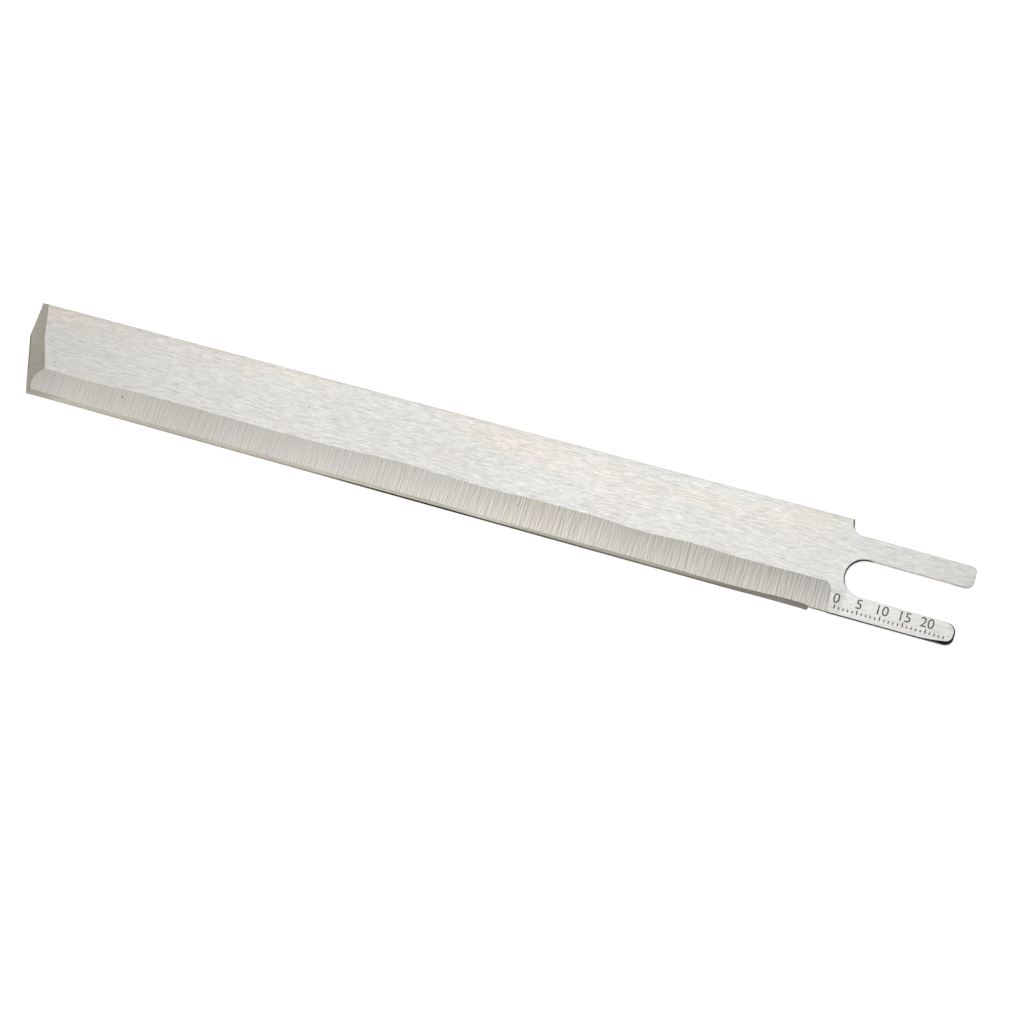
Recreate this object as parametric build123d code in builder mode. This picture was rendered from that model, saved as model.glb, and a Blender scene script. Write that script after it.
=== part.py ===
from build123d import *
from math import radians, tan
import os

# Straight knife blade of an upright cloth cutting machine: one piece of ground steel.
# It lies flat. X runs from the tip to the forked tang, Y from the cutting edge to the spine,
# and Z is its thickness. Lengths are in millimetres and angles in degrees.

# Blank
overall_length = 227.8
blade_width = 22.75      # cutting edge to spine
thickness = 1.0
edge_proud = 0.75        # the cutting edge stands this far out from the tang's lower side
heel_length = 4.4        # unsharpened stretch between the cutting edge and the shoulder
edge_end_radius = 0.6

# Tip
tip_square = 8.6         # the part of the tip that is square to the spine
tip_setback = 4.6        # how far the cutting edge stops short of the square end
tip_land = 0.39          # thickness left at the corner where the tip turns
facet_at_spine = 1.55    # length of the ground tip facet, measured on the flat
facet_at_turn = 3.95
facet_at_grind = 6.95

# Hollow grind on both faces
grind_stop = 0.24        # the hollow ends this far short of the shoulder, at the tang's lower side
grind_end_lean = 5.4     # its end leans back from square by this much
grind_width = 7.5        # cutting edge to the line where the hollow meets the flat
grind_depth = 0.34
deepest_line = 1.5       # distance from the cutting edge to the bottom of the hollow
grind_corner = 1.9

# Sharpened bevel on both faces
bevel_width = 1.05
edge_land = 0.05         # thickness left at the cutting edge itself
bevel_corner = 0.25

# Shoulder and forked tang
tang_length = 28.2       # shoulder to the end of the longer prong
shoulder_drop = 3.15
shoulder_angle = 13.0    # the shoulder leans back from square by this much
shoulder_fillet = 1.9
prong_width = 5.1
short_prong_gap = 1.0    # the lower prong stops short of the upper one by this much
fork_lean = 0.55         # the slot and the upper prong lean towards the cutting edge
slot_depth = 26.9
upper_outer_radius = 1.3  # corners at the ends of the two prongs
upper_inner_radius = 1.7
lower_inner_radius = 2.0
lower_outer_radius = 1.9

# Room that a cutting tool has past the stock
overcut = 2.0
grind_overlap = 0.02

# Derived sizes
half_thickness = thickness / 2
shoulder_x = overall_length - tang_length
sharpened_length = shoulder_x - heel_length
grind_top = grind_width + grind_overlap
grind_foot_x = shoulder_x - grind_stop
grind_end_fall = tan(radians(grind_end_lean))
grind_lowest_x = grind_foot_x + (edge_proud + overcut) * grind_end_fall
grind_top_x = grind_foot_x - (grind_top - edge_proud) * grind_end_fall
tang_top = blade_width - shoulder_drop
slot_width = tang_top - edge_proud - 2 * prong_width
slot_radius = slot_width / 2
slot_root_x = overall_length - slot_depth + slot_radius
slot_centre_y = edge_proud + prong_width + slot_radius
shoulder_foot_x = shoulder_x + shoulder_drop * tan(radians(shoulder_angle))
upper_end = overall_length
lower_end = overall_length - short_prong_gap
prong_top_fall = (upper_end - shoulder_foot_x) * tan(radians(fork_lean))
slot_fall = (upper_end - slot_root_x) * tan(radians(fork_lean))
hollow_reach = grind_width - deepest_line
wheel_radius = (hollow_reach**2 + grind_depth**2) / (2 * grind_depth)
bevel_top_depth = grind_depth - (deepest_line - bevel_width) ** 2 / (2 * wheel_radius)
turn_y = blade_width - tip_square
turn_depth = (thickness - tip_land) / 2

# The drafting plane has its zero at the tip and the cutting edge, and the finished blade's
# origin is at the middle of its lowest face.
draft = Plane(origin=(-overall_length / 2, -blade_width / 2, 0))
section = Plane(origin=draft.origin, x_dir=(0, 1, 0), z_dir=(1, 0, 0))
mid_plane = Plane.XY.offset(half_thickness)


def drafted(x, y, z):
    """A point given from the tip, the cutting edge and the lower face."""
    return draft.from_local_coords(Vector(x, y, z))


# Hollows left by the grinding wheel, which runs along the blade on both faces
with BuildPart() as hollows:
    wheel_height = thickness - grind_depth + wheel_radius
    with BuildSketch(section.offset(-overcut)):
        with Locations((deepest_line, wheel_height)):
            Circle(wheel_radius)
        with Locations((deepest_line, half_thickness)):
            Rectangle(2 * wheel_radius, thickness, align=(Align.CENTER, Align.MIN), mode=Mode.INTERSECT)
    extrude(amount=overcut + grind_lowest_x)
    with BuildSketch(draft):
        with BuildLine():
            Polyline(
                (-overcut, -overcut),
                (grind_lowest_x, -overcut),
                (grind_top_x, grind_top),
                (-overcut, grind_top),
                close=True,
            )
        make_face()
        fillet(vertices().sort_by_distance((grind_top_x, grind_top, 0))[0], grind_corner)
    extrude(amount=2 * thickness, mode=Mode.INTERSECT)
    mirror(about=mid_plane)

# Steel taken off by sharpening, on both faces
with BuildPart() as bevels:
    bevel_slope = (half_thickness - edge_land / 2 - bevel_top_depth) / bevel_width
    with BuildSketch(section.offset(-overcut)):
        with BuildLine():
            Polyline(
                (bevel_width, thickness - bevel_top_depth),
                (-overcut, thickness - bevel_top_depth - bevel_slope * (bevel_width + overcut)),
                (-overcut, 2 * thickness),
                (bevel_width, 2 * thickness),
                close=True,
            )
        make_face()
    extrude(amount=overcut + sharpened_length)
    with BuildSketch(draft):
        with Locations((sharpened_length, bevel_width)):
            Rectangle(
                sharpened_length + overcut,
                bevel_width + overcut,
                align=(Align.MAX, Align.MAX),
            )
        fillet(vertices().group_by(Axis.X)[-1].sort_by(Axis.Y)[-1], bevel_corner)
    extrude(amount=2 * thickness, mode=Mode.INTERSECT)
    mirror(about=mid_plane)

with BuildPart() as blade:
    # Outline of the blank, with the tip cut back towards the cutting edge
    with BuildSketch(draft):
        with BuildLine():
            Polyline(
                (0, blade_width),
                (shoulder_x, blade_width),
                (shoulder_foot_x, tang_top),
                (upper_end, tang_top - prong_top_fall),
                (upper_end, slot_centre_y),
                (lower_end, slot_centre_y),
                (lower_end, edge_proud),
                (sharpened_length, edge_proud),
                (sharpened_length, 0),
                (tip_setback, 0),
                (0, turn_y),
                close=True,
            )
        make_face()
        fillet(vertices().sort_by_distance((shoulder_foot_x, tang_top, 0))[0], shoulder_fillet)
        fillet(vertices().sort_by_distance((sharpened_length, 0, 0))[0], edge_end_radius)
        # Fork slot with a round end
        with Locations((slot_root_x, slot_centre_y)):
            Circle(slot_radius, mode=Mode.SUBTRACT)
            Rectangle(
                slot_depth + overcut,
                slot_width,
                rotation=-fork_lean,
                align=(Align.MIN, Align.CENTER),
                mode=Mode.SUBTRACT,
            )
        prong_corners = (
            (upper_end, tang_top - prong_top_fall, upper_outer_radius),
            (upper_end, slot_centre_y + slot_radius - slot_fall, upper_inner_radius),
            (lower_end, slot_centre_y - slot_radius - slot_fall, lower_inner_radius),
            (lower_end, edge_proud, lower_outer_radius),
        )
        for corner_x, corner_y, corner_radius in prong_corners:
            fillet(vertices().sort_by_distance((corner_x, corner_y, 0))[0], corner_radius)
    extrude(amount=thickness)

    add(hollows.part, mode=Mode.SUBTRACT)
    add(bevels.part, mode=Mode.SUBTRACT)

    # Two flat facets on each face thin the tip. They meet on a line from the turned corner.
    turned_corner = (0, turn_y, thickness - turn_depth)
    facet_turn = (facet_at_turn, turn_y, thickness)
    facet_ends = ((facet_at_spine, blade_width), (facet_at_grind, grind_width))
    for end_x, end_y in facet_ends:
        along = drafted(end_x, end_y, thickness) - drafted(*facet_turn)
        towards_tip = drafted(*turned_corner) - drafted(*facet_turn)
        up = along.cross(towards_tip).normalized()
        if up.Z < 0:
            up = -up
        facet_plane = Plane(origin=drafted(*facet_turn), x_dir=along, z_dir=up)
        split(bisect_by=facet_plane, keep=Keep.BOTTOM)
        lower_plane = Plane(
            origin=(facet_plane.origin.X, facet_plane.origin.Y, 0),
            x_dir=along,
            z_dir=(up.X, up.Y, -up.Z),
        )
        split(bisect_by=lower_plane, keep=Keep.BOTTOM)

blade.part.label = "blade"
os.makedirs("parts", exist_ok=True)
export_step(blade.part, "parts/blade.step")
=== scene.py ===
from math import atan2, cos, pi, radians, sin, tan

import bpy
from mathutils import Euler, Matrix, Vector, kdtree
from mathutils.geometry import delaunay_2d_cdt


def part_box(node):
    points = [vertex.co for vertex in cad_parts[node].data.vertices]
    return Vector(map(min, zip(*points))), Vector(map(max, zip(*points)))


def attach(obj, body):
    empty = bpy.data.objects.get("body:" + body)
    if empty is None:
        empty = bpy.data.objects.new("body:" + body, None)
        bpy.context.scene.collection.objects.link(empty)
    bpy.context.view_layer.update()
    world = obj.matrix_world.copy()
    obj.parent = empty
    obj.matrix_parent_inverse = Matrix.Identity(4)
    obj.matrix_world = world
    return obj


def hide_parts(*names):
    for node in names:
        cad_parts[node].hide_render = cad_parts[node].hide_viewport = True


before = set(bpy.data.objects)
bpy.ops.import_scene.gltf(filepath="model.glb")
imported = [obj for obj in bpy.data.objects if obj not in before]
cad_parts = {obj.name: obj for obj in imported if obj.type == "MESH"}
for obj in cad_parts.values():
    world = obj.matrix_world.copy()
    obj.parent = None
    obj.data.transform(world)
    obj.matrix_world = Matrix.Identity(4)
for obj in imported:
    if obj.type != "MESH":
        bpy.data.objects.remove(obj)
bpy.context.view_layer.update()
scene = bpy.context.scene
scene.view_settings.view_transform = "Standard"
mm = 0.001  # sizes below are in millimetres unless a line says otherwise

# Places on the blade are given as millimetres from the tip and from the cutting edge.
nodeLow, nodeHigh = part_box("blade")
bladeLength, bladeWidth, bladeThickness = (nodeHigh - nodeLow) / mm


# Camera: looks down on the blade from the tang's side, with the blade lying across the picture
photoView = {
    "lens": 73.83,
    "sensor": 36,
    "target": (11.81, -7.54, 0.0),
    "distance": 472.9,
    "azimuth": 39.67,
    "elevation": 70.19,
    "roll": -22.53,
    "nearest": 10.0,
}


def addCamera(view):
    tilt = Euler((radians(90 - view["elevation"]), 0, radians(view["azimuth"])))
    spin = Euler((0, 0, radians(view["roll"])))
    turned = tilt.to_matrix() @ spin.to_matrix()
    camera = bpy.data.objects.new("camera", bpy.data.cameras.new("camera"))
    camera.data.lens = view["lens"]
    camera.data.sensor_width = view["sensor"]
    camera.data.clip_start = view["nearest"] * mm
    camera.rotation_euler = turned.to_euler()
    camera.location = (Vector(view["target"]) + turned @ Vector((0, 0, view["distance"]))) * mm
    scene.collection.objects.link(camera)
    scene.camera = camera


addCamera(photoView)
print("camera set")


# Node helpers, used by the shape's trees and by the materials
def isSocket(value):
    return isinstance(value, bpy.types.NodeSocket)


def feed(node, inputs):
    for key, value in inputs.items():
        if isSocket(value):
            node.id_data.links.new(value, node.inputs[key])
        else:
            node.inputs[key].default_value = value


def source(tree, kind, inputs=None, out=0, **settings):
    node = tree.nodes.new(kind)
    for name, value in settings.items():
        setattr(node, name, value)
    feed(node, inputs or {})
    return node.outputs[out]


def wire(kind, inputs, out=0, **settings):  # the node joins the tree of whatever feeds it
    tree = next(value.id_data for value in inputs.values() if isSocket(value))
    return source(tree, kind, inputs, out, **settings)


def calc(operation, a, b=0.0, c=0.0):
    return wire("ShaderNodeMath", {0: a, 1: b, 2: c}, operation=operation)


def plus(a, b):
    return calc("ADD", a, b)


def minus(a, b):
    return calc("SUBTRACT", a, b)


def times(a, b):
    return calc("MULTIPLY", a, b)


def vector(x=0.0, y=0.0, z=0.0):
    return wire("ShaderNodeCombineXYZ", {"X": x, "Y": y, "Z": z})


def ranged(value, fromLow, fromHigh, toLow=0.0, toHigh=1.0):
    ends = {"Value": value, "From Min": fromLow, "From Max": fromHigh, "To Min": toLow, "To Max": toHigh}
    return wire("ShaderNodeMapRange", ends)


# The blank: a flat sheet cut to the blade's outline, with a line of points along every crease
shape = {
    "tipSetback": 4.6,       # how far the cutting edge stops short of the tip
    "tipSquare": 8.6,        # part of the tip that is square to the spine
    "tipLand": 0.39,         # thickness left where the tip turns
    "facetAtSpine": 1.55,    # lengths of the tip's facets, measured on the flat
    "facetAtTurn": 3.95,
    "facetAtGrind": 6.95,
    "grindWidth": 7.5,
    "grindDepth": 0.34,
    "deepestLine": 1.5,
    "grindStop": 0.24,       # the hollow ends this far short of the shoulder
    "grindLean": 5.4,        # and its end leans back from square by this many degrees
    "grindCorner": 1.9,
    "grindRunOut": 0.14,     # its end rises to the flat over this length
    "stripWidth": 1.05,
    "stripRunOut": 0.07,
    "edgeLand": 0.05,        # thickness left at the cutting edge
    "edgeProud": 0.75,       # the cutting edge stands this far out from the tang
    "edgeEndRadius": 0.6,
    "heelLength": 4.4,
    "tangLength": 28.2,
    "shoulderDrop": 3.15,
    "shoulderAngle": 13.0,
    "shoulderFillet": 1.9,
    "prongWidth": 5.1,
    "shortProngGap": 1.0,
    "forkLean": 0.55,
    "slotDepth": 26.9,
    "upperOuterRadius": 1.3,
    "upperInnerRadius": 1.7,
    "lowerInnerRadius": 2.0,
    "lowerOuterRadius": 1.9,
    "brokenEdge": 0.07,      # the sharp corners are taken off by this much
    "rolledWidth": 0.7,      # the lower prong's end is rolled over at its outer corner
    "rolledDepth": 0.5,
    "rolledFrom": 10.0,      # starting this far from its end
    "rolledFull": 1.9,       # and full this far from it
    "rolledAtSlot": 0.35,    # share of the roll at the corner beside the slot
}
detail = {
    "outlineStep": 0.6,
    "creaseStep": 0.4,
    "cornerSteps": 10,
    "slotSteps": 48,
    "facetSteps": 16,        # along the line where the tip's facet cuts the hollow
    "groundFrom": 1.5,       # first row of points in the hollow
    "groundRows": 12,
    "groundStep": 0.5,
    "flatFrom": 8.2,         # first row on the flat
    "flatRows": 18,
    "flatStep": 0.9,
    "flatRowGap": 0.87,      # from row to row, as a share of the step
    "clearance": 0.3,        # share of a step that is kept clear beside the drawn lines
    "leastRoll": 0.12,       # a smaller roll gets no lines of its own
    "weld": 0.004,
}

shoulderX = bladeLength - shape["tangLength"]
stripEnd = shoulderX - shape["heelLength"]
grindEnd = shoulderX - shape["grindStop"]
grindLean = radians(shape["grindLean"])
turnY = bladeWidth - shape["tipSquare"]
tangTop = bladeWidth - shape["shoulderDrop"]
slotWidth = tangTop - shape["edgeProud"] - 2 * shape["prongWidth"]
slotRadius = slotWidth / 2
slotRootX = bladeLength - shape["slotDepth"] + slotRadius
slotY = shape["edgeProud"] + shape["prongWidth"] + slotRadius
lowerEnd = bladeLength - shape["shortProngGap"]
leanFall = tan(radians(shape["forkLean"]))
slotFall = (bladeLength - slotRootX) * leanFall
slotSide = slotY - slotRadius - slotFall  # the slot's lower side, at the prongs' ends

wheelReach = shape["grindWidth"] - shape["deepestLine"]
wheelRadius = (wheelReach**2 + shape["grindDepth"] ** 2) / (2 * shape["grindDepth"])
cornerHeight = (bladeThickness + shape["tipLand"]) / 2
facetSlope = (bladeThickness - cornerHeight) / shape["facetAtTurn"]
upperFall = facetSlope * (shape["facetAtTurn"] - shape["facetAtSpine"]) / shape["tipSquare"]
lowerReach = shape["facetAtGrind"] - shape["facetAtTurn"]
lowerFall = facetSlope * lowerReach / (turnY - shape["grindWidth"])


def hollowHeight(y):
    return bladeThickness - shape["grindDepth"] + (y - shape["deepestLine"]) ** 2 / (2 * wheelRadius)


landHeight = (bladeThickness + shape["edgeLand"]) / 2
stripTopHeight = hollowHeight(shape["stripWidth"])


def facetCrossing(y):  # where the tip's lower facet cuts into the hollow or the strip
    stripHeight = landHeight + (stripTopHeight - landHeight) * y / shape["stripWidth"]
    height = min(hollowHeight(y), stripHeight)
    return (height - cornerHeight - lowerFall * (y - turnY)) / facetSlope


def clamped(value):
    return min(1.0, max(0.0, value))


def roundCorners(corners):
    steps = detail["cornerSteps"]
    points = []
    for i, (x, y, radius) in enumerate(corners):
        corner = Vector((x, y))
        if not radius:
            points.append(corner)
            continue
        back = (Vector(corners[i - 1][:2]) - corner).normalized()
        ahead = (Vector(corners[(i + 1) % len(corners)][:2]) - corner).normalized()
        half = back.angle(ahead) / 2
        centre = corner + (back + ahead).normalized() * radius / sin(half)
        start = corner + back * radius / tan(half) - centre
        stop = corner + ahead * radius / tan(half) - centre
        first = atan2(start.y, start.x)
        turn = (atan2(stop.y, stop.x) - first + pi) % (2 * pi) - pi
        angles = [first + turn * k / steps for k in range(steps + 1)]
        points += [centre + Vector((cos(a), sin(a))) * radius for a in angles]
    return points


def evenly(points, step, closed=False):
    ends = points[1:] + points[:1] if closed else points[1:]
    spaced = []
    for start, stop in zip(points, ends):
        parts = max(1, round((stop - start).length / step))
        spaced += [start.lerp(stop, k / parts) for k in range(parts)]
    return spaced if closed else spaced + [points[-1]]


def inset(points, depth):
    sharpest = 0.4  # keeps a tight corner from being moved too far
    moved = []
    for i, point in enumerate(points):
        before = (point - points[i - 1]).normalized()
        after = (points[(i + 1) % len(points)] - point).normalized()
        across = Vector((-before.y - after.y, before.x + after.x)).normalized()
        square = across.dot(Vector((-before.y, before.x)))
        moved.append(point + across * depth / max(square, sharpest))
    return moved


def bladeOutline():
    lean = radians(shape["forkLean"])
    steps = detail["slotSteps"]
    sweep = [-pi / 2 - lean - pi * k / steps for k in range(steps + 1)]
    slotArc = [(slotRootX + slotRadius * cos(a), slotY + slotRadius * sin(a), 0) for a in sweep]
    shoulderFoot = shoulderX + shape["shoulderDrop"] * tan(radians(shape["shoulderAngle"]))
    prongTop = tangTop - (bladeLength - shoulderFoot) * leanFall
    corners = [
        (shape["tipSetback"], 0, 0),
        (stripEnd, 0, shape["edgeEndRadius"]),
        (stripEnd, shape["edgeProud"], 0),
        (lowerEnd, shape["edgeProud"], shape["lowerOuterRadius"]),
        (lowerEnd, slotSide, shape["lowerInnerRadius"]),
        *slotArc,
        (bladeLength, slotY + slotRadius - slotFall, shape["upperInnerRadius"]),
        (bladeLength, prongTop, shape["upperOuterRadius"]),
        (shoulderFoot, tangTop, shape["shoulderFillet"]),
        (shoulderX, bladeWidth, 0),
        (0, bladeWidth, 0),
        (0, turnY, 0),
    ]
    return evenly(roundCorners(corners), detail["outlineStep"], closed=True)


def rolledEnd():  # outline points round the lower prong's end, each with how far the roll has grown
    radius = shape["lowerInnerRadius"]
    least = shape["rolledAtSlot"]
    rollStart = lowerEnd - shape["rolledFrom"]
    rolled = []
    for point in bladeOutline():
        onProng = point.x > rollStart and point.y < slotSide + 0.01
        besideSlot = point.y > slotSide - 0.3 * radius and point.x < lowerEnd - radius
        if onProng and not besideSlot:
            swell = clamped((point.x - rollStart) / (shape["rolledFrom"] - shape["rolledFull"]))
            fade = clamped((slotSide - point.y) / (slotSide - shape["edgeProud"]))
            rolled.append((point, swell**2 * (least + (1 - least) * fade**2)))
    return rolled


def rollAt(point, rolled):  # 1 on the outline where the roll is full, falling to 0 at its inner edge
    best = 0.0
    for (start, grown), (stop, more) in zip(rolled, rolled[1:]):
        line = stop - start
        along = clamped((point - start).dot(line) / line.length_squared)
        size = grown + (more - grown) * along
        if size > 0:
            away = (point - start - line * along).length
            best = max(best, size * (1 - away / (shape["rolledWidth"] * size)))
    return best


def inwardAt(rolled, k):
    line = rolled[min(k + 1, len(rolled) - 1)][0] - rolled[max(k - 1, 0)][0]
    return Vector((-line.y, line.x)).normalized()


def grindEndAt(y):
    return grindEnd - (y - shape["edgeProud"]) * tan(grindLean)


def insideGrind(point):  # 0 outside the hollow, 1 inside it, rising over the run-out at its end
    radius = shape["grindCorner"]
    toEnd = (grindEndAt(point.y) - point.x) * cos(grindLean)
    toTop = shape["grindWidth"] - point.y
    inside = min(toEnd, toTop)
    centreY = shape["grindWidth"] - radius
    fromCentre = point - Vector((grindEndAt(centreY) - radius / cos(grindLean), centreY))
    if fromCentre.x > 0 and fromCentre.y * cos(grindLean) > fromCentre.x * sin(grindLean):
        inside = radius - fromCentre.length
    return clamped(inside / shape["grindRunOut"])


def creaseLines():
    grindTop = shape["grindWidth"]
    corner = shape["grindCorner"]
    runOut = shape["grindRunOut"]
    inward = runOut / cos(grindLean)
    stripTop = shape["stripWidth"]
    stripInner = stripEnd - shape["stripRunOut"]
    proud = shape["edgeProud"]
    stripCorner = stripTop - proud - 0.02  # a little less than the height there is for it
    steps = detail["facetSteps"]
    levels = [grindTop * k / steps for k in range(steps + 1)] + [stripTop]
    grindStart = (shape["facetAtGrind"], grindTop, 0)
    turnPoint = (shape["facetAtTurn"], turnY, 0)
    paths = [
        [(grindEnd, proud, 0), (grindEndAt(grindTop), grindTop, corner), grindStart],
        [
            (grindEnd - inward, proud, 0),
            (grindEndAt(grindTop - runOut) - inward, grindTop - runOut, corner - runOut),
            (grindEnd - 3 * corner, grindTop - runOut, 0),
        ],
        [(stripEnd, proud, 0), (stripEnd, stripTop, stripCorner), (facetCrossing(stripTop), stripTop, 0)],
        [(stripInner, 0, 0), (stripInner, stripTop, 0)],
        [(shape["facetAtSpine"], bladeWidth, 0), turnPoint, grindStart],
        [(0, turnY, 0), turnPoint],
        [(facetCrossing(y), y, 0) for y in sorted(levels)],
    ]
    return [evenly(roundCorners(path), detail["creaseStep"]) for path in paths]


def fillPoints():
    groundStep = detail["groundStep"]
    flatStep = detail["flatStep"]
    rowGap = detail["flatRowGap"] * flatStep
    stripRows = [shape["stripWidth"] * k / 3 for k in (1, 2)]
    groundRows = [detail["groundFrom"] + groundStep * k for k in range(detail["groundRows"])]
    flatRows = [detail["flatFrom"] + rowGap * k for k in range(detail["flatRows"])]
    bands = [
        (stripRows + groundRows, groundStep, grindEnd),
        (groundRows[1::2], 2 * groundStep, bladeLength),
        (flatRows, flatStep, bladeLength),
    ]
    points = []
    for rows, step, last in bands:
        for j, y in enumerate(rows):
            x = step * (0.5 + 0.5 * (j % 2))
            while x < last:
                points.append(Vector((x, y)))
                x += step
    return points


def cutBlank():
    points = []
    edges = []

    def draw(line, closed=False):
        first = len(points)
        points.extend(line)
        edges.extend((first + k, first + k + 1) for k in range(len(line) - 1))
        if closed:
            edges.append((len(points) - 1, first))

    outline = bladeOutline()
    draw(outline, closed=True)
    draw(inset(outline, shape["brokenEdge"]), closed=True)
    for line in creaseLines():
        draw(line)
    rolled = rolledEnd()
    for share in (0.33, 0.66, 1.0):
        draw([point + inwardAt(rolled, k) * shape["rolledWidth"] * size * share
              for k, (point, size) in enumerate(rolled) if size > detail["leastRoll"]])

    near = kdtree.KDTree(len(points))
    for i, point in enumerate(points):
        near.insert(point.to_3d(), i)
    near.balance()
    room = detail["clearance"] * detail["groundStep"]
    for point in fillPoints():
        onFlat = point.y > shape["grindWidth"]
        if near.find(point.to_3d())[2] > room * (2 if onFlat else 1):
            points.append(point)

    corners, _, faces, *_ = delaunay_2d_cdt(points, edges, [], 1, detail["weld"])
    used = sorted({i for face in faces for i in face})
    number = {old: new for new, old in enumerate(used)}
    flat = [corners[i] for i in used]
    mesh = bpy.data.meshes.new("blade")
    places = [nodeLow + Vector((p.x, p.y, 0)) * mm for p in flat]
    mesh.from_pydata(places, [], [[number[i] for i in face] for face in faces])
    attributes = {
        "fromTip": [p.x for p in flat],
        "fromEdge": [p.y for p in flat],
        "inHollow": [insideGrind(p) for p in flat],
        "rolled": [rollAt(p, rolled) for p in flat],
        "inStrip": [clamped((stripEnd - p.x) / shape["stripRunOut"]) for p in flat],
    }
    for name, values in attributes.items():
        mesh.attributes.new(name, "FLOAT", "POINT").data.foreach_set("value", values)
    return mesh


blankMesh = cutBlank()
bladeObject = bpy.data.objects.new("groundBlade", blankMesh)
scene.collection.objects.link(bladeObject)
print("blank cut:", len(blankMesh.polygons), "triangles")


# The grind: raises both faces from the sheet by the blade's section, lets the ground lines wander,
# closes the sides and gives every surface its own finish
grind = {
    "Thickness": bladeThickness,
    "Hollow Floor": bladeThickness - shape["grindDepth"],
    "Deepest Line": shape["deepestLine"],
    "Wheel Radius": wheelRadius,
    "Hollow Width": shape["grindWidth"],
    "Strip Width": shape["stripWidth"],
    "Strip Foot": landHeight,
    "Strip Head": stripTopHeight,
    "Tip Height": cornerHeight,
    "Tip Turn": turnY,
    "Facet Slope": facetSlope,
    "Upper Facet Fall": upperFall,
    "Lower Facet Fall": lowerFall,
    "Broken Edge": shape["brokenEdge"],
    "Break From": 0.18,      # height above the middle at which a corner starts to be broken
    "Break Full": 0.26,
    "Rolled Depth": shape["rolledDepth"],
    "Roll Curve": 1.5,
    "Blend Above Hollow": 3.0,
    "Crease Ripple": 0.09,
    "Strip Ripple": 0.05,
    "Edge Ripple": 0.02,
    "Ripple Scale": 0.55,
    "Ripple Seed": 4.0,
    "Ripple From": 2.4,      # the lines are still at the tip
    "Ripple Full": 7.0,
}
rippleGap = {"face": 97.0, "strip": 31.0, "edge": 57.0}  # keeps each line's ripple unlike the others'

# Where the ground lines stray from their drawn places: (mm from the tip, mm towards the spine)
creaseDrift = [
    (2.4, 0), (6, -0.5), (20, -0.55), (28, -0.2), (40, -0.1), (72, -0.3), (88, 0.05), (97, 0.42),
    (108, 0.15), (122, 0), (129, 0.28), (144, 0.27), (155, -0.18), (168, 0.2), (177, -0.1), (196, 0),
]
stripDrift = [
    (4.3, 0), (6, 0.3), (12, 0.28), (20, 0), (80, 0.03), (91, 0.09), (98, 0.02), (105, 0.1),
    (113, -0.04), (120, -0.02), (130, -0.09), (139, -0.07), (151, 0), (163, -0.02), (175, -0.12),
    (185, 0.07), (192, 0.27), (195.2, 0),
]
edgeDrift = [(4.6, 0), (8, 0.1), (34, 0.05), (60, 0), (176, 0), (186, 0.1), (193, 0.1), (194.5, 0)]
surfaces = ["flat", "hollow", "strip", "facet", "wall", "corner"]


def newTree(name, blank, values, finishNames):
    tree = bpy.data.node_groups.new(name, "GeometryNodeTree")
    tree.interface.new_socket("Geometry", in_out="OUTPUT", socket_type="NodeSocketGeometry")
    kinds = {blank: "Geometry"}
    kinds |= {label: "Int" if isinstance(value, int) else "Float" for label, value in values.items()}
    kinds |= dict.fromkeys(finishNames, "Material")
    for label, kind in kinds.items():
        tree.interface.new_socket(label, in_out="INPUT", socket_type="NodeSocket" + kind)
    return tree, tree.nodes.new("NodeGroupInput").outputs


def applyTree(thing, tree, values):
    modifier = thing.modifiers.new(tree.name, "NODES")
    modifier.node_group = tree
    for socket in tree.interface.items_tree:
        if socket.in_out == "INPUT" and socket.name in values:
            modifier[socket.identifier] = values[socket.name]
    evaluated = thing.evaluated_get(bpy.context.evaluated_depsgraph_get())
    mesh = bpy.data.meshes.new_from_object(evaluated)
    thing.modifiers.remove(modifier)
    thing.data = mesh


def field(tree, name):
    return source(tree, "GeometryNodeInputNamedAttribute", {"Name": name}, data_type="FLOAT")


def store(geometry, name, value, domain, chosen=True):
    inputs = {"Geometry": geometry, "Name": name, "Value": value, "Selection": chosen}
    return wire("GeometryNodeStoreNamedAttribute", inputs, domain=domain, data_type="FLOAT")


def raisedFrom(sheet, height):  # a lifted copy of the sheet, with sides down to the sheet's rim
    inputs = {"Mesh": sheet, "Offset": (0, 0, 1), "Offset Scale": height, "Individual": False}
    return wire("GeometryNodeExtrudeMesh", inputs).node.outputs


def closedBelow(sheet, raised, weld):  # the sheet, face down, closes what was raised from it
    joined = sheet.id_data.nodes.new("GeometryNodeJoinGeometry")
    feed(joined, {0: wire("GeometryNodeFlipFaces", {"Mesh": sheet})})
    feed(joined, {0: raised})
    return wire("GeometryNodeMergeByDistance", {"Geometry": joined.outputs[0], "Distance": weld})


def alongBlade(fromTip, places):  # a line through listed points over the blade's length, between -1 and 1
    curve = fromTip.id_data.nodes.new("ShaderNodeFloatCurve")
    curve.mapping.extend = "HORIZONTAL"
    points = curve.mapping.curves[0].points
    while len(points) < len(places):
        points.new(0.5, 0.5)
    for point, (x, offset) in zip(points, places):
        point.location = (x / bladeLength, 0.5 + offset / 2)
        point.handle_type = "AUTO_CLAMPED"
    curve.mapping.update()
    feed(curve, {"Value": calc("DIVIDE", fromTip, bladeLength)})
    return calc("MULTIPLY_ADD", curve.outputs[0], 2.0, -1.0)


def ripple(along, size):
    noise = wire("ShaderNodeTexNoise", {"W": along, "Scale": 1.0, "Detail": 3.0}, noise_dimensions="1D")
    return times(calc("MULTIPLY_ADD", noise, 2.0, -1.0), size)


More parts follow.
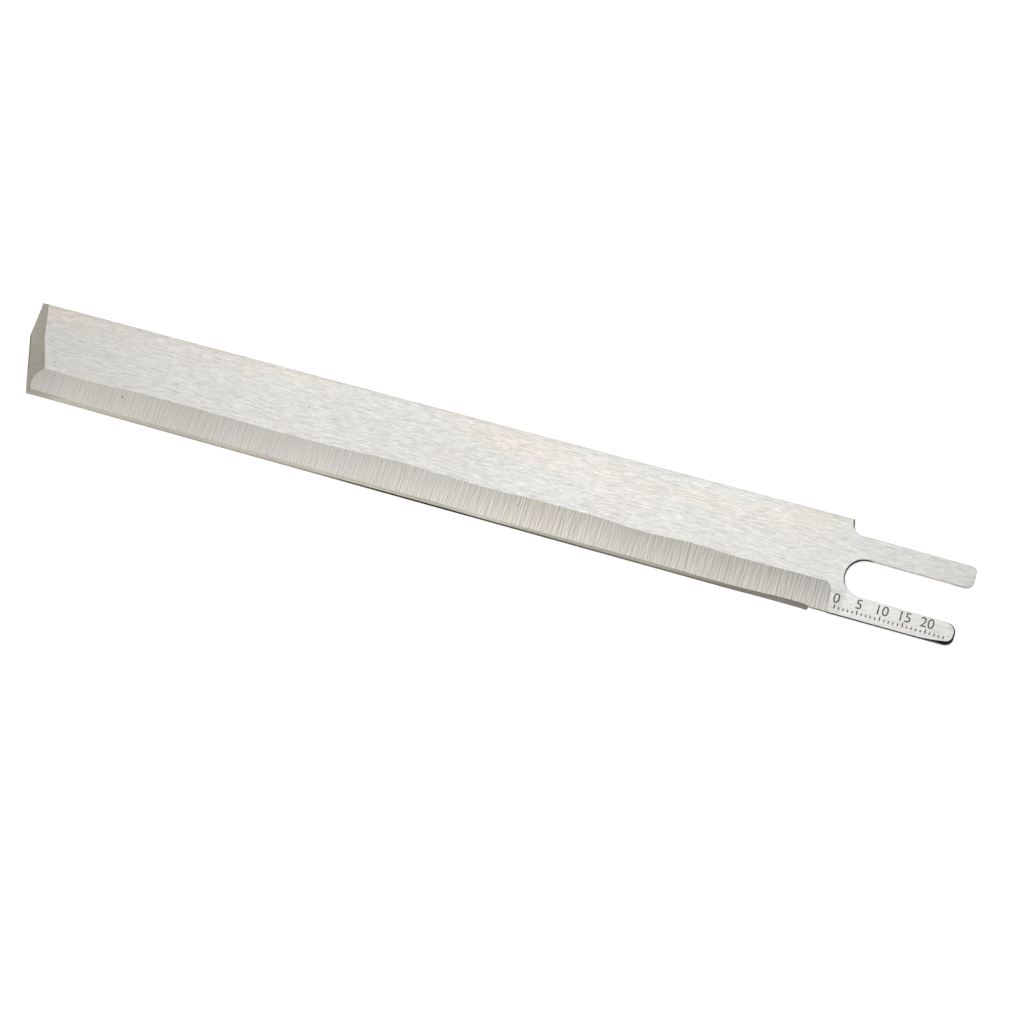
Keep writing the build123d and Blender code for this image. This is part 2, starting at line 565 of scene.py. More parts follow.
def groundShift(given, fromTip, fromEdge, isTop):  # how far the ground lines wander, on either face
    start = calc("MULTIPLY_ADD", isTop, rippleGap["face"], given["Ripple Seed"])
    along = calc("MULTIPLY_ADD", fromTip, given["Ripple Scale"], start)
    onGround = ranged(fromTip, grindEnd - shape["grindCorner"], grindEnd - 2 * shape["grindCorner"])
    pastTip = ranged(fromTip, given["Ripple From"], given["Ripple Full"])
    shaken = times(onGround, pastTip)

    def wandering(drift, stray):
        return plus(alongBlade(fromTip, drift), times(stray, shaken))

    crease = wandering(creaseDrift, ripple(along, given["Crease Ripple"]))
    alongStrip = plus(along, rippleGap["strip"])
    strip = wandering(stripDrift, ripple(alongStrip, given["Strip Ripple"]))
    alongEdge = plus(along, rippleGap["edge"])
    edge = wandering(edgeDrift, calc("ABSOLUTE", ripple(alongEdge, given["Edge Ripple"])))

    # From the edge to the strip's top, on to the hollow's crease, and back to nothing on the flat
    width = given["Hollow Width"]
    shift = ranged(fromEdge, 0.0, given["Strip Width"], edge, strip)
    toCrease = ranged(fromEdge, given["Strip Width"], width, 0.0, minus(crease, strip))
    blendEnd = plus(width, given["Blend Above Hollow"])
    back = ranged(fromEdge, width, blendEnd, 0.0, times(crease, -1.0))
    return plus(plus(shift, toCrease), back)


def grindTree(values):
    tree, given = newTree("grindBlade", "Blank", values, surfaces)
    fromTip = field(tree, "fromTip")
    fromEdge = field(tree, "fromEdge")
    hairline = 0.0005
    barelyRolled = 0.02

    # Height of the upper face: the lowest of the wheel's arc, the strip and the tip's facets
    fromDeepest = minus(fromEdge, given["Deepest Line"])
    twoRadii = times(given["Wheel Radius"], 2.0)
    rise = calc("DIVIDE", times(fromDeepest, fromDeepest), twoRadii)
    hollow = calc("MINIMUM", plus(given["Hollow Floor"], rise), given["Thickness"])
    ground = ranged(field(tree, "inHollow"), 0.0, 1.0, given["Thickness"], hollow)
    climb = minus(given["Strip Head"], given["Strip Foot"])
    across = calc("DIVIDE", fromEdge, given["Strip Width"])
    strip = calc("MINIMUM", calc("MULTIPLY_ADD", climb, across, given["Strip Foot"]), ground)
    section = ranged(field(tree, "inStrip"), 0.0, 1.0, ground, strip)
    lean = calc("MULTIPLY_ADD", given["Facet Slope"], fromTip, given["Tip Height"])
    fromTurn = minus(fromEdge, given["Tip Turn"])
    upper = calc("MULTIPLY_ADD", given["Upper Facet Fall"], fromTurn, lean)
    lower = calc("MULTIPLY_ADD", given["Lower Facet Fall"], fromTurn, lean)
    facet = calc("MINIMUM", upper, lower)
    height = calc("MINIMUM", section, facet)
    rolled = field(tree, "rolled")
    fallen = times(calc("POWER", rolled, given["Roll Curve"]), given["Rolled Depth"])

    # The sheet's rim is lowered where the blade is thick enough to have a corner to break
    edgeFaces = source(tree, "GeometryNodeInputMeshEdgeNeighbors")
    sheet = store(given["Blank"], "rim", calc("LESS_THAN", edgeFaces, 1.5), "EDGE")
    onRim = calc("GREATER_THAN", field(tree, "rim"), hairline)
    aboveMiddle = calc("MULTIPLY_ADD", given["Thickness"], -0.5, height)
    thick = ranged(aboveMiddle, given["Break From"], given["Break Full"])
    drop = times(times(onRim, thick), given["Broken Edge"])
    sheet = store(sheet, "drop", drop, "POINT")
    lowered = minus(height, drop)
    sheet = store(sheet, "lowHeight", minus(given["Thickness"], lowered), "POINT")
    sheet = store(sheet, "topHeight", minus(lowered, fallen), "POINT")

    # Number of each face's surface, as in the list of surfaces
    masks = {
        "hollow": calc("GREATER_THAN", minus(given["Thickness"], ground), hairline),
        "strip": calc("GREATER_THAN", minus(ground, section), hairline),
        "facet": calc("GREATER_THAN", minus(section, facet), hairline),
        "corner": calc("GREATER_THAN", field(tree, "drop"), hairline),
    }
    number = 0.0
    for name, mask in masks.items():
        number = calc("MAXIMUM", number, times(mask, surfaces.index(name)))
    lowSheet = store(sheet, "surface", number, "FACE")
    wall = float(surfaces.index("wall"))
    isRolled = calc("GREATER_THAN", rolled, barelyRolled)
    number = calc("MAXIMUM", number, times(isRolled, wall))
    sheet = store(sheet, "surface", number, "FACE")

    # Two faces and the sides between them
    thickness = times(given["Thickness"], mm)
    raised = raisedFrom(sheet, thickness)
    sided = store(raised["Mesh"], "surface", wall, "FACE", raised["Side"])
    solid = closedBelow(lowSheet, sided, 0.001 * mm)
    place = wire("ShaderNodeSeparateXYZ", {0: source(tree, "GeometryNodeInputPosition")}).node.outputs
    isTop = calc("GREATER_THAN", place["Z"], times(thickness, 0.5))
    faceHeight = ranged(isTop, 0.0, 1.0, field(tree, "lowHeight"), field(tree, "topHeight"))
    shift = groundShift(given, fromTip, fromEdge, isTop)
    shiftedY = calc("MULTIPLY_ADD", shift, mm, place["Y"])
    moved = vector(place["X"], shiftedY, times(faceHeight, mm))
    solid = wire("GeometryNodeSetPosition", {"Geometry": solid, "Position": moved})

    solid = wire("GeometryNodeRealizeInstances", {"Geometry": solid})
    for index, name in enumerate(surfaces):
        pair = {0: field(tree, "surface"), 1: float(index), "Epsilon": 0.4}
        isOwn = wire("FunctionNodeCompare", pair, operation="EQUAL")
        finish = {"Geometry": solid, "Selection": isOwn, "Material": given[name]}
        solid = wire("GeometryNodeSetMaterial", finish)
    feed(tree.nodes.new("NodeGroupOutput"), {0: solid})
    return tree


# Finishes. Marks and stains lie on the blade in millimetres from the tip and from the cutting edge.
def newGroup(name, inputs, outputs):
    group = bpy.data.node_groups.new(name, "ShaderNodeTree")
    for label, value in inputs.items():
        kind = "NodeSocketVector" if value is None else "NodeSocketFloat"
        socket = group.interface.new_socket(label, in_out="INPUT", socket_type=kind)
        if value is not None:
            socket.default_value = value
    for label in outputs:
        kind = "NodeSocketVector" if label == "Place" else "NodeSocketFloat"
        group.interface.new_socket(label, in_out="OUTPUT", socket_type=kind)
    return group, group.nodes.new("NodeGroupInput").outputs, group.nodes.new("NodeGroupOutput")


def slid(place, step):
    return wire("ShaderNodeVectorMath", {0: place, 1: step}, operation="ADD")


def scaled(place, x, y, z, seed):  # a place stretched by three factors and slid to its own pattern
    factors = vector(x, y, z)
    drawn = wire("ShaderNodeVectorMath", {0: place, 1: factors}, operation="MULTIPLY")
    return slid(drawn, vector(x=seed, z=seed))


def placeGroup():
    group, _, result = newGroup("placeOnBlade", {}, ["Place", "From Tip", "From Edge"])
    place = slid(source(group, "ShaderNodeTexCoord", out="Object"), tuple(-nodeLow))
    place = wire("ShaderNodeVectorMath", {0: place, "Scale": 1 / mm}, operation="SCALE")
    parts = wire("ShaderNodeSeparateXYZ", {0: place}).node.outputs
    feed(result, {"Place": place, "From Tip": parts["X"], "From Edge": parts["Y"]})
    return group


def marksGroup():  # dashes left by an abrasive: 0 in a scratch's shadow to 1 on its bright side
    inputs = {
        "Place": None,
        "Angle": 0.0,
        "Length": 6.0,
        "Width": 0.3,
        "Seed": 0.0,
        "Darkest": 0.28,
        "Brightest": 0.72,
        "Crispness": 0.0,
    }
    group, given, result = newGroup("abrasiveMarks", inputs, ["Marks"])
    turning = {"Vector": given["Place"], "Angle": given["Angle"]}
    turned = wire("ShaderNodeVectorRotate", turning, rotation_type="Z_AXIS")
    along = calc("DIVIDE", 1.0, given["Length"])
    across = calc("DIVIDE", 1.0, given["Width"])
    drawn = scaled(turned, along, across, 1.0, given["Seed"])
    grain = {"Scale": 1.0, "Detail": 2.0, "Roughness": 0.6}
    noise = wire("ShaderNodeTexNoise", {"Vector": drawn, **grain})
    # Taking off the same grain from a step aside leaves fine lines without broad bands
    aside = slid(drawn, (0, 0.9, 0))
    beside = minus(wire("ShaderNodeTexNoise", {"Vector": aside, **grain}), 0.5)
    noise = minus(noise, times(beside, given["Crispness"]))
    feed(result, {"Marks": ranged(noise, given["Darkest"], given["Brightest"])})
    return group


def stainGroup():  # soft patches: how dark, and how warm
    inputs = {"Place": None, "Length": 30.0, "Width": 8.0, "Seed": 0.0}
    group, given, result = newGroup("faintStain", inputs, ["Stain", "Warmth"])
    along = calc("DIVIDE", 1.0, given["Length"])
    across = calc("DIVIDE", 1.0, given["Width"])
    drawn = scaled(given["Place"], along, across, across, given["Seed"])
    cloud = wire("ShaderNodeTexNoise", {"Vector": drawn, "Scale": 1.0, "Detail": 3.0, "Distortion": 0.4})
    elsewhere = slid(drawn, (7.3, 2.9, 11.0))
    warmth = wire("ShaderNodeTexNoise", {"Vector": elsewhere, "Scale": 1.0, "Detail": 2.0})
    feed(result, {"Stain": ranged(cloud, 0.3, 0.7), "Warmth": ranged(warmth, 0.35, 0.7)})
    return group


placeOnBlade = placeGroup()
abrasiveMarks = marksGroup()
faintStain = stainGroup()


def useGroup(tree, group, inputs=None):
    node = tree.nodes.new("ShaderNodeGroup")
    node.node_tree = group
    feed(node, inputs or {})
    return node.outputs


def blendColour(factor, low, high, mode="MIX"):
    colours = {0: factor, 6: low, 7: high}  # 6 and 7 are the mix node's colour sockets
    colours = {key: (*c, 1) if isinstance(c, tuple) else c for key, c in colours.items()}
    return wire("ShaderNodeMix", colours, 2, data_type="RGBA", blend_type=mode)


def around(value, spread):  # turns 0..1 into a brightness that averages 1
    return calc("MULTIPLY_ADD", value, spread, 1 - spread / 2)


def faded(value, over, *ends):  # a value multiplied by a ramp over another
    return times(value, ranged(over, *ends))


def masked(brightness, mask, amount):  # the brightness, multiplied by the amount where the mask is 1
    return faded(brightness, mask, 0.0, 1.0, 1.0, amount)


def within(fromTip, fromEdge, patch):  # 1 inside a patch of the blade, 0 outside it
    soft = 0.5
    inside = 1.0
    for value, low, high in ((fromTip, *patch[:2]), (fromEdge, *patch[2:])):
        inside = faded(inside, value, low, low + soft)
        inside = faded(inside, value, high, high - soft)
    return inside


# A mark is (degrees off the blade's length, mm long, mm wide, strength), and stains are (mm long, mm wide,
# strength). A line along the blade, such as its painted light and shade, is (mm from the tip, amount). A
# patch is (from and to along the blade, from and to across it). A pit is (mm from the tip, mm from the
# edge, radius).
plainLook = {
    "metallic": 1.0, "specular": 0.5,
    "brightest": 0.72, "crispness": 0.0, "seedStep": 3.7,
    "glint": 0.2,            # a mark's bright side is smoother by this share of its strength
    "edgeLineFade": 0.75, "sideShadeFade": 0.6, "pitFade": 0.5, "pitShade": 0.3,
}


def steelMaterial(name, ownLook, shade=None):
    look = plainLook | ownLook
    material = bpy.data.materials.new(name)
    material.use_nodes = True
    tree = material.node_tree
    where = useGroup(tree, placeOnBlade)
    place = where["Place"]
    fromTip = where["From Tip"]
    fromEdge = where["From Edge"]
    brightness = 1.0
    height = 0.0
    for k, (angle, length, width, strength) in enumerate(look["marks"]):
        marks = useGroup(tree, abrasiveMarks, {
            "Place": place,
            "Angle": radians(angle),
            "Length": length,
            "Width": width,
            "Seed": look["seed"] + look["seedStep"] * k,
            "Brightest": look["brightest"],
            "Crispness": look["crispness"],
        })["Marks"]
        if "markGrowth" in look:
            growth = plus(alongBlade(fromTip, look["markGrowth"]), 1.0)
            marks = calc("MULTIPLY_ADD", minus(marks, 0.5), growth, 0.5)
        brightness = times(around(marks, strength), brightness)
        height = calc("MULTIPLY_ADD", marks, strength, height)
    length, width, strength = look["stains"]
    inputs = {"Place": place, "Length": length, "Width": width, "Seed": look["seed"]}
    stains = useGroup(tree, faintStain, inputs)
    warmth = stains["Warmth"]
    brightness = times(brightness, around(stains["Stain"], strength))
    # painted light and shade: brightness raised and lowered along the blade, for how the studio's
    # reflections fall on it
    if "paintedLightAlong" in look:
        brightness = times(brightness, plus(alongBlade(fromTip, look["paintedLightAlong"]), 1.0))
    metallic = look["metallic"]
    if "shadowPatches" in look:  # painted shade: sides and corners made dark and not metallic where they are seen in shadow and mirror dark surroundings
        dark = 0.0
        for patch in look["shadowPatches"]:
            dark = calc("MAXIMUM", dark, within(fromTip, fromEdge, patch))
        brightness = masked(brightness, dark, look["shadowDarkness"])
        metallic = ranged(dark, 0.0, 1.0, 1.0, 0.0)
    if "reflectionPatch" in look:  # painted reflection: the slot's upper side made paler, as it mirrors the white floor
        brightness = masked(brightness, within(fromTip, fromEdge, look["reflectionPatch"]), look["reflectionGain"])
    if shade:
        warmth, brightness = shade(look, fromTip, fromEdge, warmth, brightness)
    colour = blendColour(warmth, look["cool"], look["warm"])
    grey = wire("ShaderNodeCombineColor", {0: brightness, 1: brightness, 2: brightness})
    colour = blendColour(1.0, colour, grey, "MULTIPLY")
    # painted shadow and dark reflection: a dark line along the cutting edge, where the edge and the gap
    # under it look dark
    if "edgeShadow" in look:
        width = look["edgeLineWidth"]
        line = faded(alongBlade(fromTip, look["edgeShadow"]), fromEdge, width, look["edgeLineFade"] * width)
        colour = blendColour(line, colour, look["edgeShadowColour"])
    middle = sum(strength for *_, strength in look["marks"]) / 2
    rough = look["rough"] + look["glint"] * middle
    bump = {"Height": height, "Distance": look["markDepth"] * mm, "Strength": 1.0}
    feed(tree.nodes["Principled BSDF"], {
        "Base Color": colour,
        "Metallic": metallic,
        "Roughness": calc("MULTIPLY_ADD", height, -look["glint"], rough),
        "Specular IOR Level": look["specular"],
        "Normal": wire("ShaderNodeBump", bump),
    })
    return material


def distanceTo(fromTip, fromEdge, x, y):
    ends = {0: vector(fromTip, fromEdge), 1: (x, y, 0)}
    return wire("ShaderNodeVectorMath", ends, "Value", operation="DISTANCE")


def pitted(look, fromTip, fromEdge, brightness):  # small rust pits
    clean = 1.0
    for x, y, radius in look["pits"]:
        away = distanceTo(fromTip, fromEdge, x, y)
        clean = faded(clean, away, look["pitFade"] * radius, radius, look["pitShade"], 1.0)
    return times(brightness, clean)


def flatShade(look, fromTip, fromEdge, warmth, brightness):  # warm by the spine, plain on the tang
    spine = faded(alongBlade(fromTip, look["spineWarmth"]), fromEdge, *look["spineFade"])
    warmth = times(calc("MULTIPLY_ADD", spine, look["addedWarmth"], look["plainWarmth"]), warmth)
    warmth = plus(warmth, ranged(fromTip, *look["tipFade"], look["tipWarmth"], 0.0))
    warmth = faded(warmth, fromTip, *look["tangFade"], 1.0, look["tangWarmth"])
    prong = within(fromTip, fromEdge, look["brightProng"])
    brightness = times(brightness, calc("MULTIPLY_ADD", prong, look["prongLift"], 1.0))

    # Painted shade: a dark line along the shoulder, which leans as it does, and one round the slot's end
    fade = look["sideShadeFade"]
    fromSpine = minus(bladeWidth, fromEdge)
    shoulder = calc("MULTIPLY_ADD", fromSpine, tan(radians(shape["shoulderAngle"])), shoulderX)
    shoulderShade = ranged(minus(shoulder, fromTip), look["shoulderShadeWidth"], fade * look["shoulderShadeWidth"])
    shoulderShade = faded(shoulderShade, fromSpine, look["shoulderShadeLength"], fade * look["shoulderShadeLength"])
    toSlot = distanceTo(fromTip, fromEdge, slotRootX, slotY)
    ring = ranged(toSlot, slotRadius + look["slotShadeWidth"], slotRadius + fade * look["slotShadeWidth"])
    ring = faded(ring, fromTip, *(slotRootX + x for x in look["slotShadeX"]))
    ring = faded(ring, fromEdge, *(slotY + y for y in look["slotShadeY"]))
    brightness = masked(brightness, calc("MAXIMUM", shoulderShade, ring), look["sideShade"])
    brightness = faded(brightness, fromSpine, *look["spineBand"], look["spineShade"], 1.0)
    return warmth, pitted(look, fromTip, fromEdge, brightness)


def hollowShade(look, fromTip, fromEdge, warmth, brightness):  # the hollow's floor against its top
    warmth = plus(times(warmth, look["addedWarmth"]), look["plainWarmth"])
    warmth = times(warmth, alongBlade(fromTip, look["hollowWarmth"]))
    brightness = pitted(look, fromTip, fromEdge, brightness)
    return warmth, faded(brightness, fromEdge, look["floorFrom"], shape["grindWidth"], *look["floorAndTop"])


def stripShade(look, fromTip, fromEdge, warmth, brightness):  # painted shade: darker just under its top, in the crease where it meets the hollow
    top = shape["stripWidth"]
    return warmth, faded(brightness, fromEdge, top - look["brow"], top, 1.0, look["browShade"])


def facetShade(look, fromTip, fromEdge, warmth, brightness):  # painted shade: darker towards the crease, and a dark line along the end, where its side shows in shadow
    brightness = faded(brightness, fromTip, *look["creaseShade"])
    lean = atan2(shape["tipSetback"], turnY)
    belowTurn = times(minus(turnY, fromEdge), -sin(lean))
    fromEnd = calc("MULTIPLY_ADD", fromTip, cos(lean), belowTurn)
    line = faded(ranged(fromEnd, *look["endShadow"], 1.0, 0.0), fromEdge, *look["endLineFade"])
    return warmth, masked(brightness, line, look["endShade"])


flatLook = {
    "marks": [(-3.0, 2.6, 0.24, 0.22), (0.8, 4.0, 0.18, 0.26), (-2.0, 1.0, 0.16, 0.2)],
    "seed": 1.0, "markDepth": 0.003, "rough": 0.36, "stains": (30.0, 9.0, 0.05),
    "cool": (0.755, 0.748, 0.719), "warm": (0.79, 0.735, 0.665),
    # painted light and shade along the blade
    "paintedLightAlong": [(0, -0.07), (20, -0.05), (60, -0.01), (84, -0.035), (108, -0.035), (132, 0.012), (157, 0.025),
             (178, 0.07), (193, 0.075), (205, 0.06), (228, 0.05)],
    "plainWarmth": 0.35, "addedWarmth": 1.2, "spineFade": (15.0, 20.0),
    "spineWarmth": [(0, 0.3), (20, 0.3), (60, 0.3), (75, 0.55), (100, 0.8), (120, 0.75), (150, 0.7),
                    (190, 0.6), (198, 0)],
    "tipFade": (8.0, 17.0), "tipWarmth": 0.22, "tangFade": (194.0, 204.0), "tangWarmth": 0.1,
    "brightProng": (202.0, 230.0, 0.0, 8.0), "prongLift": 0.15,
    # painted shade by the shoulder and round the slot's end
    "shoulderShadeWidth": 0.38, "shoulderShadeLength": 2.4, "sideShade": 0.04,
    "slotShadeWidth": 0.28, "slotShadeX": (-0.6, -2.6), "slotShadeY": (-3.0, -1.8),
    "spineBand": (0.3, 1.3), "spineShade": 0.93,
    "pits": [(8.65, 9.2, 0.22), (72.2, 14.9, 0.2)],
}
hollowLook = {
    "marks": [(90.0, 12.0, 0.4, 0.12), (88.8, 9.0, 0.28, 0.28), (91.5, 4.0, 0.18, 0.2)],
    "markGrowth": [(0, -0.6), (12, -0.42), (30, -0.25), (50, -0.32), (90, -0.2), (110, 0.06), (135, 0.22),
                   (170, 0.25), (198, 0.5)],
    "seed": 12.0, "markDepth": 0.004, "rough": 0.46, "brightest": 0.6, "crispness": 0.85,
    "stains": (14.0, 14.0, 0.05),
    "cool": (0.57, 0.56, 0.52), "warm": (0.595, 0.545, 0.465),
    # painted light and shade along the hollow
    "paintedLightAlong": [(8, 0.025), (20, 0.16), (37, 0.125), (59, 0.14), (84, 0.2), (108, 0.195), (132, 0.18),
             (157, 0.135), (178, 0.12), (193, 0.095)],
    "floorFrom": 1.2, "floorAndTop": (1.0, 1.01),
    "plainWarmth": 0.4, "addedWarmth": 0.5,
    "hollowWarmth": [(0, 0), (12, 0.1), (20, 0.5), (48, 0.35), (65, 0.1), (118, 0.1), (126, 0.6),
                     (133, 0.72), (140, 0.45), (152, 0.3), (175, 0.35), (198, 0.1)],
    # painted shade: a dark band along the cutting edge at the heel
    "edgeLineWidth": 1.05, "edgeShadowColour": (0.06, 0.05, 0.035),
    "edgeShadow": [(0, 0), (194.9, 0), (195.4, 0.8), (199.4, 0.9)],
    "pits": [(10.0, 5.95, 0.18), (27.95, 5.4, 0.3), (126.5, 5.4, 0.18)],
}
stripLook = {
    "marks": [(90.0, 1.5, 0.4, 0.12), (0.5, 5.0, 0.15, 0.12)],
    "seed": 23.0, "markDepth": 0.002, "rough": 0.28, "stains": (12.0, 4.0, 0.08),
    "cool": (0.60, 0.58, 0.505), "warm": (0.61, 0.57, 0.48),
    # painted light and shade along the strip, darkest at the heel, where it mirrors a dark part of the room
    "paintedLightAlong": [(4.6, -0.26), (7.8, -0.22), (17.6, 0.07), (32, 0.07), (47, 0.07), (61.6, 0.17), (81, 0.22),
             (91, 0.2), (105, 0.13), (113, 0.27), (120, 0.5), (130, 0.32), (140, 0.26), (150, 0.19),
             (160, 0.25), (169, 0.17), (179, -0.03), (186, -0.15), (191, -0.25), (195, -0.3)],
    # painted shade under the strip's top
    "brow": 0.2, "browShade": 0.9,
    # painted shadow and dark reflection along the cutting edge
    "edgeLineWidth": 0.42, "edgeShadowColour": (0.025, 0.02, 0.012),
    "edgeShadow": [(4.6, 0), (20, 0.1), (32, 0.22), (61, 0.28), (71, 0.36), (81, 0.58), (91, 0.92), (101, 1),
                 (111, 1), (120, 0.9), (130, 0.85), (150, 0.68), (170, 0.5), (179, 0.25), (185, 0)],
}
facetLook = {
    "marks": [(4.0, 3.0, 0.26, 0.2), (8.0, 1.5, 0.18, 0.22)],
    "seed": 34.0, "markDepth": 0.003, "rough": 0.42, "stains": (4.0, 4.0, 0.06),
    "cool": (0.42, 0.405, 0.35), "warm": (0.44, 0.405, 0.34),
    # painted shade towards the crease and along the tip's end
    "creaseShade": (0.5, 4.5, 1.05, 0.93),
    "endShadow": (0.2, 0.4), "endLineFade": (4.0, 8.0), "endShade": 0.5,
}
wallLook = {
    "marks": [(0.0, 1.5, 0.3, 0.3)],
    "seed": 45.0, "markDepth": 0.006, "rough": 0.5, "specular": 0.05, "stains": (6.0, 6.0, 0.3),
    "cool": (0.46, 0.45, 0.43), "warm": (0.48, 0.45, 0.41),
    # painted shade: sides seen in shadow at the tip, the lower prong, the shoulder and the slot
    "shadowPatches": [(-1.0, 5.2, -1.0, 14.7), (194.0, 230.0, -1.0, 6.5), (198.0, 201.5, 19.0, 24.0),
                    (198.0, 206.0, 5.0, 15.0)],
    # painted reflection on the slot's upper side
    "shadowDarkness": 0.03, "reflectionPatch": (206.0, 224.0, 9.0, 17.0), "reflectionGain": 1.3,
}
cornerLook = {
    "marks": [(0.0, 3.0, 0.3, 0.2)],
    "seed": 56.0, "markDepth": 0.002, "rough": 0.4, "stains": (6.0, 6.0, 0.1),
    "cool": (0.17, 0.16, 0.14), "warm": (0.18, 0.155, 0.125),
    # painted shade: broken corners beside the shoulder, the slot and the lower prong
    "shadowPatches": [(199.2, 201.0, 20.6, 23.2), (199.5, 205.5, 6.5, 15.0), (194.0, 222.0, 0.0, 1.2)],
    # painted reflection on the slot's upper corner
    "shadowDarkness": 0.12, "reflectionPatch": (206.0, 224.0, 9.0, 17.0), "reflectionGain": 1.7,
}

finishes = {
    "flat": steelMaterial("brushedFlat", flatLook, flatShade),
    "hollow": steelMaterial("wheelGround", hollowLook, hollowShade),
    "strip": steelMaterial("honedStrip", stripLook, stripShade),
    "facet": steelMaterial("tipGround", facetLook, facetShade),
    "wall": steelMaterial("shearedSide", wallLook),
    "corner": steelMaterial("brokenCorner", cornerLook),
}
print("finishes made:", len(finishes))
bladeObject.data.materials.append(finishes["flat"])
applyTree(bladeObject, grindTree(grind), grind | finishes)
print("blade ground:", len(bladeObject.data.polygons), "faces")


# A plain millimetre scale etched into the lower prong: a row of ticks with a number at every fifth
scale = {
    "From Tip": 200.6,
    "From Edge": 1.85,
    "Tick Pitch": 1.0,
    "Tick Count": 25,
    "Numbered Tick": 5,
    "Tick Width": 0.26,
    "Short Tick": 0.6,
    "Long Tick": 1.05,
    "Numeral Height": 2.3,
    "Numeral Share": 0.73,   # height of a numeral as a share of the text's size
    "Numeral Gap": 0.35,
    "Etched Depth": 0.035,
    "Crease Angle": radians(3.5),
}


def etchTree(values, finish):
    tree, given = newTree("etchScale", "Blade", values, [finish])
    joined = tree.nodes.new("GeometryNodeJoinGeometry")

    # Ticks: one box at each millimetre, longer at every fifth
    step = vector(given["Tick Pitch"])
    row = wire("GeometryNodeMeshLine", {"Count": given["Tick Count"], "Offset": step})
    pastNumber = calc("MODULO", source(tree, "GeometryNodeInputIndex"), given["Numbered Tick"])
    isLong = calc("LESS_THAN", pastNumber, 0.5)
    length = ranged(isLong, 0.0, 1.0, given["Short Tick"], given["Long Tick"])
    box = wire("GeometryNodeMeshCube", {"Size": vector(given["Tick Width"], 1.0, 1.0)})
    box = wire("GeometryNodeTransform", {"Geometry": box, "Translation": (0, 0.5, 0.5)})
    boxes = {"Points": row, "Instance": box, "Scale": vector(1.0, length, 1.0)}
    feed(joined, {0: wire("GeometryNodeInstanceOnPoints", boxes)})

    # Numbers above the long ticks
    textSize = calc("DIVIDE", given["Numeral Height"], given["Numeral Share"])
    lift = plus(given["Long Tick"], given["Numeral Gap"])
    for tick in range(0, values["Tick Count"], values["Numbered Tick"]):
        text = {"String": str(tick), "Size": textSize}
        numeral = wire("GeometryNodeStringToCurves", text, align_x="CENTER")
        curves = wire("GeometryNodeRealizeInstances", {"Geometry": numeral})
        filled = wire("GeometryNodeFillCurve", {"Curve": curves})
        closed = closedBelow(filled, raisedFrom(filled, 1.0)["Mesh"], 0.0001)
        place = vector(times(given["Tick Pitch"], tick), lift)
        feed(joined, {0: wire("GeometryNodeTransform", {"Geometry": closed, "Translation": place})})

    # Their shapes, set into the blade's upper face by the etched depth, are cut away
    cutters = wire("GeometryNodeRealizeInstances", {"Geometry": joined.outputs[0]})
    cutters = wire("GeometryNodeSetMaterial", {"Geometry": cutters, "Material": given[finish]})
    cornerX, cornerY, _ = nodeLow / mm
    startX = plus(given["From Tip"], cornerX)
    startY = plus(given["From Edge"], cornerY)
    start = vector(startX, startY, minus(bladeThickness, given["Etched Depth"]))
    start = wire("ShaderNodeVectorMath", {0: start, "Scale": mm}, operation="SCALE")
    placing = {"Geometry": cutters, "Translation": start, "Scale": (mm, mm, mm)}
    cutters = wire("GeometryNodeTransform", placing)
    bodies = {"Mesh 1": given["Blade"], "Mesh 2": cutters}
    solid = wire("GeometryNodeMeshBoolean", bodies, operation="DIFFERENCE", solver="EXACT")

    # Soft shading across the hollow, crisp at every crease
    bend = source(tree, "GeometryNodeInputMeshEdgeAngle")
    creased = wire("FunctionNodeCompare", {0: bend, 1: given["Crease Angle"]}, operation="GREATER_THAN")
    soft = {"Geometry": solid, "Shade Smooth": True}
    solid = wire("GeometryNodeSetShadeSmooth", soft, domain="FACE")
    crisp = {"Geometry": solid, "Selection": creased, "Shade Smooth": False}
    solid = wire("GeometryNodeSetShadeSmooth", crisp, domain="EDGE")
    feed(tree.nodes.new("NodeGroupOutput"), {0: solid})
    return tree


etchedLook = {
    "marks": [(0.0, 0.5, 0.2, 0.3)],
    "seed": 67.0, "markDepth": 0.004, "rough": 0.6, "metallic": 0.0, "specular": 0.2,
    "stains": (1.5, 1.5, 0.4),
    "cool": (0.13, 0.11, 0.078), "warm": (0.16, 0.125, 0.08),
}
etched = steelMaterial("etchedMark", etchedLook)
applyTree(bladeObject, etchTree(scale, "Etched Finish"), scale | {"Etched Finish": etched})
print("scale etched:", len(bladeObject.data.polygons), "faces")

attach(bladeObject, "root")
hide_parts("blade")


# Stage: a white floor, a pale surround with a dim patch overhead, and one soft lamp
board = {
    "half": 8.0,             # in metres
    "drop": 0.02,            # lies this far below the blade
    "white": 0.85,
    "lift": 0.65,            # added to what the camera and the steel see of it
}


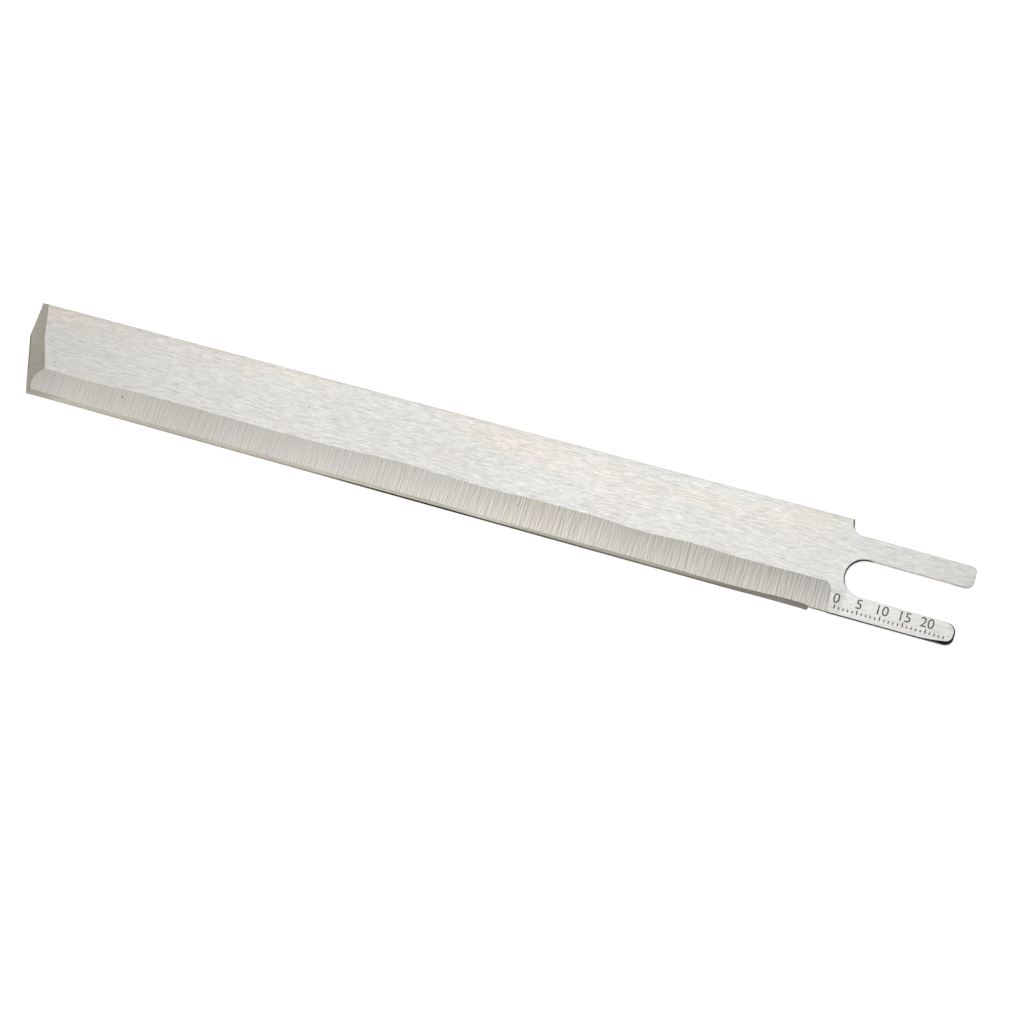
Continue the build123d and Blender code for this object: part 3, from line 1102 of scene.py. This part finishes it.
def addFloor():
    mesh = bpy.data.meshes.new("floor")
    half = board["half"]
    corners = [(-half, -half, 0), (half, -half, 0), (half, half, 0), (-half, half, 0)]
    mesh.from_pydata(corners, [], [(0, 1, 2, 3)])
    floor = bpy.data.objects.new("floor", mesh)
    floor.location.z = -board["drop"] * mm
    scene.collection.objects.link(floor)
    return floor


def whiteBoard():  # lit white with the blade's shadow; camera and gloss rays see it lifted to pure white
    material = bpy.data.materials.new("whiteBoard")
    material.use_nodes = True
    tree = material.node_tree
    tree.nodes.remove(tree.nodes["Principled BSDF"])
    rays = tree.nodes.new("ShaderNodeLightPath").outputs
    seen = rays["Is Camera Ray"]
    for kind in ("Is Glossy Ray", "Is Transmission Ray"):
        seen = calc("MAXIMUM", seen, rays[kind])
    white = board["white"]
    matt = source(tree, "ShaderNodeBsdfDiffuse", {"Color": (white, white, white, 1)})
    lift = {"Color": (1, 1, 1, 1), "Strength": times(seen, board["lift"])}
    glow = wire("ShaderNodeEmission", lift)
    both = wire("ShaderNodeAddShader", {0: matt, 1: glow})
    feed(tree.nodes["Material Output"], {"Surface": both})
    return material


floor = addFloor()
floor.data.materials.append(whiteBoard())

studio = {
    "level": 0.84,
    "dimmest": 0.05,
    "darkTowards": (0.2, -0.3, 0.93),
    "darkFrom": 0.80,        # nearness to that direction, 1 being straight towards it
    "darkTo": 0.95,
}


def addWorld():
    world = bpy.data.worlds.new("studio")
    scene.world = world
    world.use_nodes = True
    tree = world.node_tree
    towards = source(tree, "ShaderNodeTexCoord", out="Generated")
    pair = {0: towards, 1: tuple(Vector(studio["darkTowards"]).normalized())}
    nearness = wire("ShaderNodeVectorMath", pair, "Value", operation="DOT_PRODUCT")
    level = ranged(nearness, studio["darkFrom"], studio["darkTo"], studio["level"], studio["dimmest"])
    feed(tree.nodes["Background"], {"Color": (1, 1, 1, 1), "Strength": level})


addWorld()
lamps = {"softbox": {"place": (-0.19, 0.36, 1.0), "size": 0.5, "power": 0.5}}  # metres and watts
for name, lamp in lamps.items():
    light = bpy.data.objects.new(name, bpy.data.lights.new(name, "AREA"))
    light.data.energy = lamp["power"]
    light.data.size = lamp["size"]
    light.location = lamp["place"]
    light.rotation_euler = (-light.location).to_track_quat("-Z", "Y").to_euler()
    scene.collection.objects.link(light)
print("stage lit")
